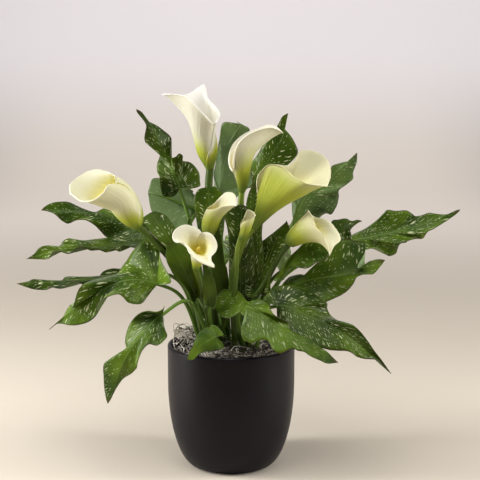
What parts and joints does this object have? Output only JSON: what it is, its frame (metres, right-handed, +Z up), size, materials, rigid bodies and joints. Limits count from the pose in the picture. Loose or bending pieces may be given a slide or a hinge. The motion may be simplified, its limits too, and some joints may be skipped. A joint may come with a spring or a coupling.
{
  "type": "potted calla lily",
  "caption": "Calla lily plant in a round glazed pot: wavy flecked arrow-shaped leaves and rolled pale flowers on tall stems, with moss over the potting mix; stands on a flat surface.",
  "frame": {"origin": "centre of the pot's underside", "axes": "+Z up along the pot's axis; -Y is the side the plant is shown from"},
  "size_m": [0.5803, 0.3114, 0.4974],
  "materials": {
    "ceramic": "satin black glaze on ceramic",
    "plastic": "thin moulded nursery pot",
    "potting_mix": "damp crumbly peat mix",
    "tuber_skin": "dull brown skin",
    "moss": "dry grey-green strands",
    "leaf": "waxy dark green with pale translucent flecks, paler and duller on the back",
    "stem": "smooth waxy green",
    "spathe": "velvety cream white, green at the base",
    "spadix": "fine golden florets"
  },
  "bodies": {
    "root": {"pot": "ceramic", "grow_pot": "plastic", "potting_mix": "potting_mix", "tuber_left": "tuber_skin", "tuber_right": "tuber_skin", "tuber_back": "tuber_skin", "moss": "moss", "leaf_upper_left": "leaf", "leaf_rear_left": "leaf", "leaf_far_left": "leaf", "leaf_left": "leaf", "leaf_left_long": "leaf", "leaf_lower_left": "leaf", "leaf_hanging_left": "leaf", "leaf_front_small": "leaf", "leaf_front_right": "leaf", "leaf_lower_right": "leaf", "leaf_right": "leaf", "leaf_upper_right": "leaf", "leaf_right_top": "leaf", "leaf_top_middle": "leaf", "leaf_top_rear": "leaf", "leaf_centre_left": "leaf", "leaf_curled_right": "leaf", "leaf_centre_right": "leaf", "leaf_centre_rear": "leaf", "leaf_arched_right": "leaf", "leaf_centre": "leaf", "leaf_back_left": "leaf", "leaf_back": "leaf", "leaf_back_right": "leaf", "leaf_back_low_left": "leaf", "leaf_back_low_right": "leaf", "stem_1": "stem", "spathe_1": "spathe", "spadix_1": "spadix", "stem_2": "stem", "spathe_2": "spathe", "spadix_2": "spadix", "stem_3": "stem", "spathe_3": "spathe", "spadix_3": "spadix", "stem_4": "stem", "spathe_4": "spathe", "spadix_4": "spadix", "stem_5": "stem", "spathe_5": "spathe", "spadix_5": "spadix", "stem_6": "stem", "spathe_6": "spathe", "spadix_6": "spadix", "stem_7": "stem", "spathe_7": "spathe", "spadix_7": "spadix", "stem_8": "stem", "spathe_8": "spathe", "spadix_8": "spadix"}
  },
  "joints": []
}
